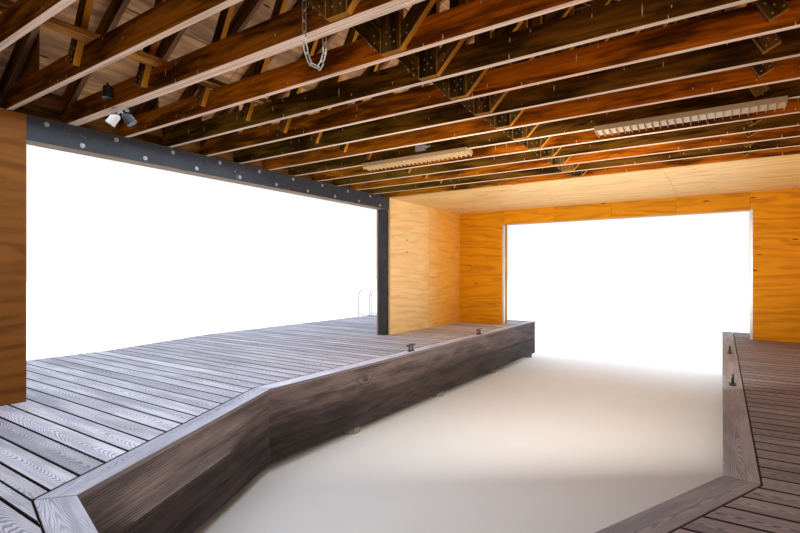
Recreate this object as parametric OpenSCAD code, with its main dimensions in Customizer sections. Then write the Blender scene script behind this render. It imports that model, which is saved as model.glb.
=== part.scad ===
// Timber boathouse with a boat slip, a wrap-round deck and an open truss roof.
// Millimetres, +Z up. The origin is under the middle of the footprint, at the foot of the piles.
// Inside the file, x = 0 is the ridge line and y = 0 is the inner face of the land wall.
// The slip opens towards +Y, to the lake.

/* [Room] */
// Clear width between the side linings
room_w = 5580; // [5200:10:6200]
// Clear length between the end linings
room_l = 10060; // [9700:10:11000]
// Height from the deck to the underside of the trusses
room_h = 2125; // [2080:5:2500]
// Height of the deck above the foot of the piles
deck_z = 700; // [680:10:1100]

/* [Walls] */
// Thickness of the plywood lining
lining_t = 18; // [12:1:25]
// Depth of the wall studs
stud_d = 140; // [89:1:184]
// Thickness of every framing timber
timber_t = 38; // [35:1:45]
// Distance between stud centres
stud_pitch = 400; // [300:10:610]
// Thickness of the outer cladding
clad_t = 22; // [16:1:30]
// Width of a plywood sheet
sheet_w = 1220; // [900:10:1250]
// Gap between neighbouring sheets
sheet_gap = 2; // [1:0.5:5]

/* [Side opening] */
// Distance from the land wall to the side opening
side_y = 2970; // [2600:10:3200]
// Length of the side opening
side_l = 4600; // [4000:10:4800]
// Clear height of the side opening
side_h = 1935; // [1800:5:1960]
// Thickness of the steel plates of the beam
plate_t = 10; // [6:1:16]
// Distance that the beam's face is set back from the lining's face
beam_back = 20; // [10:1:30]
// How far the beam's timber core stands above its plates
core_rise = 6; // [2:1:20]
// Outer width of the square steel posts
post_w = 102; // [76:1:105]
// Wall of the square steel posts
post_t = 6; // [4:1:10]

/* [Lake entrance] */
// Clear width of the boat entrance
entrance_w = 3700; // [3300:10:3900]
// Distance of the entrance's middle from the ridge line
entrance_x = -36; // [-100:1:100]
// Clear height of the boat entrance
entrance_h = 1860; // [1750:5:1900]
// Thickness of the jamb boards
jamb_t = 19; // [12:1:25]
// Width of the metal strip on the jambs
strip_w = 32; // [20:1:50]
// Thickness of the metal strip on the jambs
strip_t = 3; // [2:0.5:5]

/* [High windows] */
// Length of one high window
window_l = 1600; // [1200:10:2000]
// Height of one high window
window_h = 400; // [300:10:420]
// Height of the sills above the deck
window_sill = 1540; // [1400:10:1560]
// Width of the sash members
sash_w = 45; // [30:1:70]
// Thickness of the glass
glass_t = 6; // [4:1:12]

/* [Slip] */
// Width of the slip between its straight edges
slip_w = 3090; // [2700:10:3300]
// Distance of the slip's middle from the ridge line
slip_x = -62; // [-100:1:60]
// Width of the slip's head, where the tapers end
slip_head_w = 1490; // [1200:10:1800]
// Distance from the land wall to the tip of the slip
slip_tip_y = 2295; // [2000:5:2500]
// Distance along the slip from its tip to the head corners
slip_head_l = 180; // [100:5:300]
// Distance along the slip from the head corners to the straight edges
slip_taper_l = 1765; // [1400:5:2200]

/* [Deck] */
// Thickness of the deck boards
board_t = 25; // [20:1:38]
// Gap between the parts of the deck, as between its boards
board_gap = 5; // [3:0.5:8]
// Width of the border boards round the slip
border_w = 143; // [120:1:160]
// Gap at a mitre of the border boards
mitre_gap = 3; // [2:0.5:6]
// How far the deck stands out past its fascia
nosing = 12; // [5:1:25]
// Thickness of the fascia boards
fascia_t = 25; // [19:1:30]
// Height of one row of fascia boards
fascia_h = 298; // [240:1:310]
// Gap between the rows of fascia boards
fascia_gap = 4; // [2:0.5:8]
// Width of the deck outside the left wall
dock_w = 2240; // [1800:10:2800]
// How much narrower the deck is near the land
dock_jog = 386; // [200:1:600]
// Distance from the land wall to where the deck starts to widen
dock_jog_y = 4520; // [4000:10:4800]
// Length over which the deck widens
dock_jog_l = 1600; // [1200:10:2000]
// Width of the deck outside the lake wall
lake_step = 815; // [600:5:1200]

/* [Deck framing] */
// Depth of the deck joists
joist_d = 184; // [140:1:235]
// Distance between joist centres
joist_pitch = 406; // [300:1:500]
// Depth of the cap beams
cap_d = 190; // [140:1:240]
// Width of the cap beams
cap_w = 140; // [100:1:200]
// Diameter of the round piles
pile_d = 220; // [180:5:300]
// Number of rows of piles
pile_rows = 7; // [5:1:9]

/* [Trusses] */
// Distance from the land wall to the middle of the first truss
truss_y = 83; // [70:1:120]
// Distance between truss centres
truss_pitch = 398.2; // [390:0.1:406]
// Number of trusses between the end walls
truss_n = 25; // [20:1:25]
// Which truss has a second bottom chord beside it, counted from 0
truss_double = 8; // [6:1:10]
// Depth of the bottom chords
chord_d = 150; // [130:1:235]
// Depth of the rafters
rafter_d = 140; // [120:1:184]
// Angle of the roof in degrees
roof_angle = 33.7; // [27:0.1:40]
// Width of the king posts
king_w = 127; // [89:1:140]
// Height of the king posts' lower ends over the underside of the chords
king_rise = 5; // [2:1:20]
// Width of the diagonals and the struts
web_w = 89; // [64:1:100]
// Distance from the ridge line to where the diagonals' lower edges reach the rafters
panel_x = 1260; // [1200:10:1400]
// Distance of the struts' feet from the ridge line
strut_foot = 1710; // [1690:10:1900]
// Distance from the ridge line to where the struts meet the diagonals
strut_head = 1145; // [1100:5:1200]
// Height of the struts' feet over the underside of the chords
strut_rise = 55; // [40:1:60]
// Thickness of the plywood gussets
gusset_t = 12; // [9:1:18]
// Width of the gussets
gusset_w = 420; // [300:10:600]
// Distance of the lateral runners from the ridge line
runner_x = 1538; // [1400:1:1540]
// Width of the lateral runners
runner_w = 89; // [64:1:89]

/* [Ceiling over the lake end] */
// Number of the truss where the ceiling starts, counted from 0
ceiling_truss = 19; // [17:1:21]
// Thickness of the ceiling plywood
ceiling_t = 12; // [9:1:18]

/* [Roof] */
// Thickness of the roof sheathing
sheath_t = 15; // [12:1:22]
// Overhang of the rafters past the cladding
eave_out = 180; // [100:10:500]
// Overhang of the roof past the end walls
gable_out = 300; // [200:10:450]
// Thickness of the metal roofing
roofing_t = 5; // [3:1:8]
// Height of the standing seams
seam_h = 25; // [20:1:40]
// Width of the standing seams
seam_w = 12; // [8:1:20]
// Distance between seam centres
seam_pitch = 420; // [300:10:500]
// Width of each leg of the ridge cap
cap_leg = 150; // [120:5:200]
// Thickness of the roof's edge boards
edge_t = 25; // [19:1:30]
// Depth of the roof's edge boards
edge_d = 184; // [160:1:235]

/* [Fittings] */
// Length of a strip light
light_l = 1220; // [900:10:1250]
// Width of a strip light
light_w = 150; // [110:1:180]
// Height of a strip light's housing
light_h = 38; // [30:1:60]
// Height of the blades that hang under the housing
blade_h = 20; // [12:1:30]
// Truss that carries the strip lights, counted from 0
light_truss = 14; // [12:1:16]
// Distance of the left light's middle from the ridge line
light_left_x = -1120; // [-1200:10:-900]
// Distance of the right light's middle from the ridge line
light_right_x = 1235; // [900:10:1250]
// Distance between the blades of a strip light
blade_pitch = 50; // [30:1:60]
// Thickness of the blades of a strip light
blade_t = 1.5; // [1:0.5:3]
// Distance of the flood lamps from the left lining
lamp_wall = 679; // [500:1:900]
// Diameter of the flood lamps' shells
lamp_d = 64; // [50:1:80]
// Length of the flood lamps' shells
lamp_l = 105; // [80:1:130]
// Distance of the junction box from the ridge line
box_x = 1016; // [900:1:1200]
// Width of the junction box
box_w = 110; // [80:1:130]
// Height of the junction box
box_h = 75; // [60:1:100]
// Depth of the junction box
box_d = 45; // [30:1:60]
// Distance of the hanging chain from the ridge line
chain_x = 188; // [150:1:300]
// Diameter of the rod of a chain link
chain_d = 6; // [4:0.5:8]
// Inner length of a chain link
chain_pitch = 51; // [46:1:54]
// Outer width of a chain link
chain_w = 27; // [24:1:34]
// Number of links on each side of the chain's loop that hang straight
chain_n = 7; // [5:1:9]
// Length of a dock cleat
cleat_l = 200; // [150:5:250]
// Height of a dock cleat
cleat_h = 88; // [50:1:100]
// Distance from the lake edge of the deck to the first cleat
cleat_y = 2555; // [2000:5:3000]
// Distance between cleats
cleat_pitch = 1985; // [1500:5:2200]
// Distance from the lake edge of the deck to the ladder's far rail
ladder_y = 690; // [400:10:1500]
// Height of the ladder's rails over the deck
ladder_h = 626; // [500:2:800]
// Distance between the ladder's rails
ladder_w = 400; // [350:10:600]
// Depth of the ladder's rails over the deck
ladder_d = 397; // [260:1:450]
// Diameter of the ladder's tubes
ladder_tube = 32; // [25:1:40]
// Distance of the ladder's tubes from the deck's edge
ladder_gap = 6; // [1:1:20]
// Depth of the ladder's lowest rung under the deck
ladder_drop = 560; // [400:10:600]
// Distance between the ladder's rungs
rung_pitch = 240; // [180:10:280]

/* [Hidden] */

// Faces of the walls, measured from the ridge line
half_w = room_w / 2;
frame_in = half_w + lining_t;
frame_out = frame_in + stud_d;
wall_out = frame_out + clad_t;
wall_t = wall_out - half_w;
// Heights over the foot of the piles
head_z = deck_z + room_h;
lining_top = head_z - ceiling_t;
board_z = deck_z - board_t;
joist_z = board_z - joist_d;
cap_z = joist_z - cap_d;
side_top = deck_z + side_h;
entrance_top = deck_z + entrance_h;
chord_top = head_z + chord_d;
rafter_plumb = rafter_d / cos(roof_angle);
sheath_plumb = sheath_t / cos(roof_angle);
eave_x = wall_out + eave_out;
// Edges of the deck
land_y = -wall_t;
lake_y = room_l + wall_t + lake_step;
dock_x = -wall_out - dock_w;
dock_land_x = dock_x + dock_jog;
right_x = wall_out;
jog_end_y = dock_jog_y + dock_jog_l;
side_end = side_y + side_l;
slip_head_y = slip_tip_y + slip_head_l;
slip_corner_y = slip_head_y + slip_taper_l;
deck_in = border_w + board_gap;
face_d = nosing + fascia_t;
// Middle of the whole footprint, which goes over the origin
roof_edge_x = eave_x + edge_t + (roofing_t + seam_h) * sin(roof_angle);
mid_x = (dock_x - ladder_gap - ladder_tube + roof_edge_x) / 2;
roof_y0 = -wall_t - gable_out;
roof_y1 = room_l + wall_t + gable_out;
mid_y = (roof_y0 + lake_y) / 2;
entrance_l = entrance_x - entrance_w / 2;
entrance_r = entrance_x + entrance_w / 2;
eps = 0.01;
// Clearance between neighbouring solids
fit = 0.3;
// Shares of the room's length at which the high windows have their middles
window_at = [0.2, 0.5, 0.8];

// Moves the house so that its footprint is centred on the origin
module on_site() translate([-mid_x, -mid_y, 0]) children();

// Extrudes a drawing made in the X-Z plane along +Y, from y0 over length l
module along_y(y0, l) translate([0, y0 + l, 0]) rotate([90, 0, 0]) linear_extrude(l) children();

// Copies a part drawn on one side of the ridge line to both sides
module both_sides() {
    children();
    mirror([1, 0, 0]) children();
}

// A path's unit normal on its right-hand side, and its point i moved out by d with mitred corners
function path_dir(p, i) = (p[i + 1] - p[i]) / norm(p[i + 1] - p[i]);
function path_normal(p, i) = [path_dir(p, i)[1], -path_dir(p, i)[0]];
function path_out(p, i, d) =
    i == 0 ? p[0] + d * path_normal(p, 0)
    : i == len(p) - 1 ? p[i] + d * path_normal(p, i - 1)
    : let (a = path_normal(p, i - 1), b = path_normal(p, i)) p[i] + d * (a + b) / (1 + a * b);

// One board along segment i of a path, between the offsets d0 and d1, mitred at its ends
module mitred_board(p, i, d0, d1, gap) {
    ease = path_dir(p, i) * gap / 2;
    start = i == 0 ? [0, 0] : ease;
    end = i == len(p) - 2 ? [0, 0] : ease;
    polygon([path_out(p, i, d0) + start, path_out(p, i + 1, d0) - end,
        path_out(p, i + 1, d1) - end, path_out(p, i, d1) + start]);
}

// Water's edge of the slip, from the lake down the left side, round the head and back
function slip_path(end_y) = [
    [slip_x - slip_w / 2, end_y], [slip_x - slip_w / 2, slip_corner_y],
    [slip_x - slip_head_w / 2, slip_head_y], [slip_x, slip_tip_y], [slip_x + slip_head_w / 2, slip_head_y],
    [slip_x + slip_w / 2, slip_corner_y], [slip_x + slip_w / 2, end_y]];

// Outer edge of the deck, from one side of the slip's mouth round to the other
function dock_path(inset) = [
    [slip_x - slip_w / 2 - inset, lake_y], [dock_x, lake_y], [dock_x, jog_end_y],
    [dock_land_x, dock_jog_y], [dock_land_x, land_y], [right_x, land_y], [right_x, lake_y],
    [slip_x + slip_w / 2 + inset, lake_y]];

// Plan of the whole deck with the slip left open, inset from the outer edge and from the slip
module deck_plan(edge_in, slip_in) {
    outer = dock_path(slip_in);
    slip = slip_path(lake_y - edge_in);
    polygon(concat([for (i = [0:len(outer) - 1]) path_out(outer, i, -edge_in)],
        [for (i = [len(slip) - 1:-1:0]) path_out(slip, i, slip_in)]));
}

// Part of the deck's boards between two lines across the deck, and between two lines along it
module deck_part(x0, x1, y0, y1) {
    translate([0, 0, board_z]) linear_extrude(board_t) intersection() {
        deck_plan(0, deck_in);
        translate([x0, y0]) square([x1 - x0, y1 - y0 - board_gap]);
    }
}

// Lines across the deck where its outline turns, so that each part between them is convex
deck_tip_y = path_out(slip_path(lake_y), 3, deck_in)[1];
deck_head_y = path_out(slip_path(lake_y), 2, deck_in)[1];
deck_corner_y = path_out(slip_path(lake_y), 1, deck_in)[1];
left_cuts = [deck_tip_y, deck_head_y, deck_corner_y, dock_jog_y, jog_end_y, room_l + wall_t];
right_cuts = [deck_tip_y, deck_head_y, deck_corner_y, room_l + wall_t];

// Undersides and tops of the rafters at distance x from the ridge line
function rafter_z(x) = chord_top + (half_w - x) * tan(roof_angle);
function rafter_top(x) = rafter_z(x) + rafter_plumb;

// Middle of truss i, counted from 0. The trusses past the doubled one stand one chord further on
ply = timber_t + fit;
function truss_at(i) = truss_y + i * truss_pitch + (i > truss_double ? ply : 0);
// Middles of the trusses in the room, and of all trusses with one in each end wall
room_trusses = [for (i = [0:truss_n - 1]) truss_at(i)];
all_trusses = concat([-wall_t / 2], room_trusses, [room_l + wall_t / 2]);
double_y = truss_at(truss_double);

// Foundation
module piles() color("dimgray") on_site() {
    row_l = lake_y - land_y - 2 * face_d - pile_d;
    for (i = [0:pile_rows - 1]) {
        y = land_y + face_d + pile_d / 2 + i * row_l / (pile_rows - 1);
        for (x = pile_xs(y)) translate([x, y, 0]) pile();
    }
    for (i = [2, 4]) translate(path_out(slip_path(lake_y), i, face_d + pile_d / 2)) pile();
}

module pile() cylinder(h = cap_z, d = pile_d, $fn = 48);

// Places of the piles in the row at y: under both walls, beside the slip, and under the outer deck
function pile_xs(y) = concat(
    [y < jog_end_y ? dock_land_x + face_d + pile_d / 2 : dock_x + face_d + pile_d / 2],
    [-frame_in - stud_d / 2, slip_x - slip_w / 2 - face_d - pile_d / 2],
    y < slip_tip_y - deck_in ? [slip_x] : [],
    [slip_x + slip_w / 2 + face_d + pile_d / 2, frame_in - pile_d / 2]);

module cap_beams() color("peru") on_site() {
    row_l = lake_y - land_y - 2 * face_d - pile_d;
    translate([0, 0, cap_z]) linear_extrude(cap_d) intersection() {
        deck_plan(face_d, face_d);
        for (i = [0:pile_rows - 1])
            translate([dock_x, land_y + face_d + pile_d / 2 - cap_w / 2 + i * row_l / (pile_rows - 1)])
                square([right_x - dock_x, cap_w]);
    }
    translate([0, 0, cap_z]) linear_extrude(cap_d)
        for (i = [2, 3]) mitred_board(slip_path(lake_y), i, face_d, face_d + cap_w, mitre_gap);
}

module deck_joists() color("burlywood") on_site() {
    translate([0, 0, joist_z]) linear_extrude(joist_d) intersection() {
        deck_plan(face_d, face_d);
        for (x = [dock_x + face_d:joist_pitch:right_x - face_d - timber_t])
            translate([x, land_y]) square([timber_t, lake_y - land_y]);
    }
}

// Decking
module deck_head() color("lightslategray") on_site()
    deck_part(dock_x, right_x, land_y, deck_tip_y);

module deck_left() color("lightslategray") on_site()
    for (i = [0:len(left_cuts) - 2]) deck_part(dock_x, slip_x - eps, left_cuts[i], left_cuts[i + 1]);

module deck_right() color("rosybrown") on_site()
    for (i = [0:len(right_cuts) - 2]) deck_part(slip_x + eps, right_x, right_cuts[i], right_cuts[i + 1]);

module dock_lake_end() color("tan") on_site() {
    deck_part(dock_x, slip_x, room_l + wall_t, lake_y + board_gap);
    deck_part(slip_x, right_x, room_l + wall_t, lake_y + board_gap);
}

module slip_border() color("lightsteelblue") on_site() {
    p = slip_path(lake_y);
    translate([0, 0, board_z]) linear_extrude(board_t)
        for (i = [0:len(p) - 2]) mitred_board(p, i, 0, border_w, mitre_gap);
}

// Two rows of boards on edge below the nosing
module fascia_rows(p, d0, d1) {
    for (row = [1, 2]) translate([0, 0, board_z - row * (fascia_h + fascia_gap) + fascia_gap])
        linear_extrude(fascia_h)
            for (i = [0:len(p) - 2]) mitred_board(p, i, d0, d1, mitre_gap);
}

module slip_fascia() color("dimgray") on_site()
    fascia_rows(slip_path(lake_y - nosing), nosing, face_d);

module dock_fascia() color("dimgray") on_site()
    fascia_rows(dock_path(face_d + mitre_gap), -face_d, -nosing);

// Framing of one wall in its own plane, with the openings [x0, z0, x1, z1] left out
module stud_wall(l, h, openings) {
    bay_n = max(1, round((l - timber_t) / stud_pitch));
    pitch = (l - timber_t) / bay_n;
    difference() {
        square([l, h]);
        for (i = [0:bay_n - 1]) translate([timber_t + i * pitch, timber_t])
            square([pitch - timber_t, h - 3 * timber_t]);
        for (o = openings) translate([o[0], o[1]]) square([o[2] - o[0], o[3] - o[1]]);
    }
    for (o = openings) difference() {
        translate([o[0] - timber_t, max(0, o[1] - timber_t)])
            square([o[2] - o[0] + 2 * timber_t, min(h, o[3] + timber_t) - max(0, o[1] - timber_t)]);
        translate([o[0], o[1]]) square([o[2] - o[0], o[3] - o[1]]);
    }
}

// A side wall's framing stands in the Y-Z plane from x0, and starts at y0
module side_framing(x0, y0, l, openings)
    translate([x0, y0, deck_z]) rotate([90, 0, 90]) linear_extrude(stud_d) stud_wall(l, room_h, openings);

module wall_framing() color("burlywood") on_site() {
    y0 = -lining_t + fit;
    y1 = room_l + lining_t - fit;
    far_y = side_end + post_w;
    windows = [for (s = window_at) [s * room_l - window_l / 2 - y0, window_sill,
        s * room_l + window_l / 2 - y0, window_sill + window_h]];
    side_framing(-frame_out, y0, side_y - post_w - y0, []);
    side_framing(-frame_out, far_y, y1 - far_y, []);
    side_framing(frame_in, y0, y1 - y0, windows);
    along_y(-lining_t - stud_d, stud_d) translate([-frame_out, deck_z])
        stud_wall(2 * frame_out, room_h, []);
    along_y(room_l + lining_t, stud_d) translate([-frame_out, deck_z])
        stud_wall(2 * frame_out, room_h, [[frame_out + entrance_l - jamb_t, -eps,
            frame_out + entrance_r + jamb_t, entrance_h + jamb_t]]);
}

// Upright plywood sheets that line a wall from s0 to s1, laid out along X
module sheets(s0, s1, z0, z1) {
    n = ceil((s1 - s0) / sheet_w);
    w = (s1 - s0 + sheet_gap) / n;
    for (i = [0:n - 1]) translate([s0 + i * w, z0]) square([w - sheet_gap, z1 - z0]);
}

// Turns a lining drawn along X into the lining of a side wall whose outer face is at x0
module side_lining(x0) translate([x0, 0, 0]) rotate([90, 0, 90]) linear_extrude(lining_t) children();

module left_wall_lining() color("sandybrown") on_site() side_lining(-frame_in) {
    sheets(0, side_y, deck_z, lining_top);
    sheets(side_end + post_w, room_l, deck_z, lining_top);
}

module right_wall_lining() color("sandybrown") on_site() side_lining(half_w)
    sheets_round_windows(0, room_l, lining_top);

// Right wall from s0 to s1 and up to z1: a strip under the sills, one over the windows, and pieces between
module sheets_round_windows(s0, s1, z1) {
    sill_z = deck_z + window_sill;
    over_z = sill_z + window_h;
    ends = concat([s0], [for (s = window_at) each [s * room_l - window_l / 2, s * room_l + window_l / 2]], [s1]);
    translate([s0, deck_z]) square([s1 - s0, window_sill - sheet_gap]);
    translate([s0, over_z + sheet_gap]) square([s1 - s0, z1 - over_z - sheet_gap]);
    for (i = [0:2:len(ends) - 2]) translate([ends[i], sill_z]) square([ends[i + 1] - ends[i], window_h]);
}

module land_wall_lining() color("sandybrown") on_site()
    along_y(-lining_t, lining_t) sheets(-half_w, half_w, deck_z, lining_top);

module lake_wall_lining() color("orange") on_site() along_y(room_l, lining_t) {
    sheets(-half_w, entrance_l - sheet_gap, deck_z, lining_top);
    sheets(entrance_r + sheet_gap, half_w, deck_z, lining_top);
    sheets(entrance_l, entrance_r, entrance_top, lining_top);
}

// Cladding of a side wall drawn along X, up to the underside of the rafters
clad_top = rafter_z(wall_out);
module side_cladding(x0) translate([x0, 0, 0]) rotate([90, 0, 90]) linear_extrude(clad_t) children();

module left_wall_cladding() color("sienna") on_site() side_cladding(-wall_out) {
    y0 = -wall_t + clad_t;
    y1 = room_l + wall_t - clad_t;
    translate([y0, deck_z]) square([side_y - y0, clad_top - deck_z]);
    translate([side_end, deck_z]) square([y1 - side_end, clad_top - deck_z]);
    translate([side_y + sheet_gap, side_top]) square([side_l - 2 * sheet_gap, clad_top - side_top]);
}

module right_wall_cladding() color("sienna") on_site() side_cladding(frame_out)
    sheets_round_windows(-wall_t + clad_t, room_l + wall_t - clad_t, clad_top);

// Outline of a gable end above z0, up to the underside of the sheathing
module gable(z0) polygon([[-wall_out, z0], [wall_out, z0], [wall_out, clad_top],
    [wall_out, rafter_top(wall_out)], [0, rafter_top(0)], [-wall_out, rafter_top(wall_out)]]);

module land_wall_cladding() color("sienna") on_site() along_y(-wall_t, clad_t) gable(deck_z);

module lake_wall_cladding() color("sienna") on_site() along_y(room_l + wall_t - clad_t, clad_t) {
    translate([-wall_out, deck_z]) square([wall_out + entrance_l, entrance_h - sheet_gap]);
    translate([entrance_r, deck_z]) square([wall_out - entrance_r, entrance_h - sheet_gap]);
    gable(entrance_top);
}

// Boards that close the wall's thickness round the boat entrance
module entrance_jambs() color("peru") on_site() {
    for (x = [entrance_l - jamb_t, entrance_r]) translate([x, room_l + lining_t, deck_z])
        cube([jamb_t, stud_d, entrance_h - fit]);
    translate([entrance_l - jamb_t, room_l + lining_t, entrance_top])
        cube([entrance_w + 2 * jamb_t, stud_d, jamb_t]);
}

// Angle strips of bright metal that cover the inner corners of the entrance
module entrance_strips() color("gainsboro") on_site() {
    for (side = [-1, 1]) translate([entrance_x + side * entrance_w / 2, room_l, deck_z])
        linear_extrude(entrance_h - sheet_gap)
            polygon([[0, -strip_t], [side * strip_w, -strip_t], [side * strip_w, 0], [0, 0],
                [0, strip_w], [-side * strip_t, strip_w], [-side * strip_t, -strip_t]]);
}

// High windows of the right wall
module window_sashes() color("white") on_site() {
    for (s = window_at) translate([half_w, s * room_l - window_l / 2, deck_z + window_sill])
        rotate([90, 0, 90]) linear_extrude(wall_t) {
            for (z = [0, window_h - sash_w]) translate([0, z]) square([window_l, sash_w]);
            for (x = [0, window_l - sash_w]) translate([x, sash_w + fit])
                square([sash_w, window_h - 2 * sash_w - 2 * fit]);
        }
}

module window_glass() color("lightcyan", 0.4) on_site() {
    for (s = window_at)
        translate([half_w + wall_t / 2, s * room_l - window_l / 2 + sash_w, deck_z + window_sill + sash_w])
            cube([glass_t, window_l - 2 * sash_w, window_h - 2 * sash_w]);
}

// Flitch beam over the side opening: steel plates bolted to both faces of a timber core
beam_in = -half_w - beam_back;
beam_w = frame_out + beam_in;
beam_y0 = side_y - post_w;
beam_l = side_l + 2 * post_w;
beam_h = head_z - side_top;

module steel_beam() color("slategray") on_site() along_y(beam_y0, beam_l)
    for (x = [-frame_out, beam_in - plate_t]) translate([x, side_top]) square([plate_t, beam_h - core_rise]);

module beam_core() color("wheat") on_site() along_y(beam_y0, beam_l)
    translate([-frame_out + plate_t, side_top]) square([beam_w - 2 * plate_t, beam_h]);

module steel_posts() color("darkslategray") on_site() {
    for (y = [side_y - post_w, side_end]) translate([-frame_out + (beam_w - post_w) / 2, y, deck_z])
        difference() {
            cube([post_w, post_w, side_h]);
            translate([post_t, post_t, -eps]) cube([post_w - 2 * post_t, post_w - 2 * post_t, side_h + 2 * eps]);
        }
}

// Bottom chords, cut at their ends to the slope of the rafters
module chord_profile() polygon([[-frame_out, head_z], [frame_out, head_z], [frame_out, rafter_z(frame_out)],
    [half_w, chord_top], [-half_w, chord_top], [-frame_out, rafter_z(frame_out)]]);

module bottom_chords() color("saddlebrown") on_site() {
    for (y = all_trusses) along_y(y - timber_t / 2, timber_t) chord_profile();
    along_y(double_y - timber_t / 2 + ply, timber_t) chord_profile();
}

module rafters() color("sienna") on_site() {
    for (y = all_trusses) along_y(y - timber_t / 2, timber_t) both_sides()
        polygon([[-eave_x, rafter_z(eave_x)], [-fit / 2, rafter_z(fit / 2)],
            [-fit / 2, rafter_top(fit / 2)], [-eave_x, rafter_top(eave_x)]]);
}

// The king posts, diagonals and struts lap the land-side faces of the chords and the rafters
module web_places() for (y = room_trusses) along_y(y - 1.5 * timber_t, timber_t) children();

module king_posts() color("chocolate") on_site() {
    w = king_w / 2;
    z0 = head_z + king_rise;
    web_places() polygon([[-w, z0], [w, z0], [w, rafter_top(w)], [0, rafter_top(0)], [-w, rafter_top(w)]]);
}

// A straight board of the X-Z plane. Its edge runs from a to b, and it lies on the left of that line
module board_beside(a, b, w) {
    u = (b - a) / norm(b - a);
    n = [-u[1], u[0]] * w;
    polygon([a, b, b + n, a + n]);
}

// Lower edge of the left diagonal, from the king post's corner to the middle of the rafter
diagonal_foot = [-king_w / 2 - fit, head_z + king_rise];
diagonal_head = [-panel_x, rafter_z(panel_x) + rafter_plumb / 2];

// Where that edge has distance x from the ridge line
function on_diagonal(x) = diagonal_foot
    + (diagonal_head - diagonal_foot) * (x + diagonal_foot[0]) / (diagonal_foot[0] - diagonal_head[0]);

module truss_diagonals() color("orange") on_site() web_places() both_sides() intersection() {
    board_beside(diagonal_head, diagonal_foot, web_w);
    translate([-half_w, 0]) square([half_w + diagonal_foot[0], rafter_top(0)]);
}

// The struts stand beside the runners, and are cut to fit under the diagonals
module truss_struts() color("peru") on_site() web_places() both_sides() {
    foot = [-strut_foot, head_z + strut_rise];
    axis = on_diagonal(strut_head) - foot;
    side = [axis[1], -axis[0]] / norm(axis) * web_w / 2;
    polygon([foot + side, under_diagonal(foot + side, axis), under_diagonal(foot - side, axis), foot - side]);
}

// Where a line from p in direction u ends just under the left diagonal
function under_diagonal(p, u) = let (v = diagonal_head - diagonal_foot, w = diagonal_foot - [0, fit] - p)
    p + u * (w[0] * v[1] - w[1] * v[0]) / (u[0] * v[1] - u[1] * v[0]);

// Plywood gussets on the lake-side faces, at the ridge and at the heels
module truss_gussets() color("tan") on_site()
    for (i = [0:truss_n - 1]) if (i != truss_double) along_y(truss_at(i) + timber_t / 2, gusset_t) {
        w = gusset_w / 2;
        polygon([[-w, rafter_z(w)], [w, rafter_z(w)], [w, rafter_top(w)], [0, rafter_top(0)], [-w, rafter_top(w)]]);
        both_sides() polygon([[-half_w, head_z + strut_rise], [-half_w + gusset_w, head_z + strut_rise],
            [-half_w + gusset_w, rafter_z(half_w - gusset_w) + rafter_plumb / 2],
            [-half_w, rafter_z(half_w) + rafter_plumb / 2]]);
    }

module lateral_runners() color("orange") on_site() both_sides()
    translate([runner_x - runner_w / 2, 0, chord_top]) cube([runner_w, room_l, timber_t]);

// Blocks between the trusses that close the roof over the side walls
module eave_blocking() color("saddlebrown") on_site() {
    for (i = [0:len(all_trusses) - 2]) {
        y0 = all_trusses[i] + timber_t / 2 + (all_trusses[i] == double_y ? ply : 0);
        along_y(y0, all_trusses[i + 1] - timber_t / 2 - y0) both_sides()
            polygon([[-frame_out, head_z], [-frame_out + timber_t, head_z],
                [-frame_out + timber_t, rafter_top(frame_out - timber_t)], [-frame_out, rafter_top(frame_out)]]);
    }
}

// Flat plywood ceiling over the lake end
ceiling_y = truss_at(ceiling_truss) - timber_t / 2;
module ceiling_panels() color("navajowhite") on_site() {
    n = ceil((room_l - ceiling_y) / sheet_w);
    w = (room_l - ceiling_y + sheet_gap) / n;
    for (i = [0:n - 1]) translate([0, 0, lining_top]) linear_extrude(ceiling_t)
        translate([0, ceiling_y + i * w]) {
            rows = ceil(room_w / (2 * sheet_w));
            l = (room_w + sheet_gap) / rows;
            for (j = [0:rows - 1]) translate([-half_w + j * l, 0]) square([l - sheet_gap, w - sheet_gap]);
        }
}

// Roof
module roof_sheathing() color("bisque") on_site() along_y(roof_y0, roof_y1 - roof_y0) both_sides()
    polygon([[-eave_x, rafter_top(eave_x)], [-sheet_gap / 2, rafter_top(sheet_gap / 2)],
        [-sheet_gap / 2, rafter_top(sheet_gap / 2) + sheath_plumb], [-eave_x, rafter_top(eave_x) + sheath_plumb]]);

// Metal sheets with standing seams, laid up the slope from the eave
module metal_roofing() color("dimgray") on_site() both_sides() {
    run = (eave_x + edge_t) / cos(roof_angle);
    l = roof_y1 - roof_y0;
    n = floor((l - 2 * seam_w) / seam_pitch);
    first = (l - n * seam_pitch) / 2;
    translate([-eave_x - edge_t, roof_y0, rafter_top(eave_x + edge_t) + sheath_plumb])
        rotate([0, -roof_angle, 0]) rotate([90, 0, 90]) linear_extrude(run - seam_h) {
            square([l, roofing_t]);
            for (i = [0:n]) translate([first + i * seam_pitch - seam_w / 2, roofing_t / 2])
                square([seam_w, roofing_t / 2 + seam_h]);
        }
}

module ridge_cap() color("dimgray") on_site() {
    z = rafter_top(0) + sheath_plumb + (roofing_t + seam_h) / cos(roof_angle);
    t = roofing_t / cos(roof_angle);
    drop = cap_leg * tan(roof_angle);
    along_y(roof_y0, roof_y1 - roof_y0) both_sides()
        polygon([[-cap_leg, z - drop], [-fit / 2, z], [-fit / 2, z + t], [-cap_leg, z - drop + t]]);
}

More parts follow.
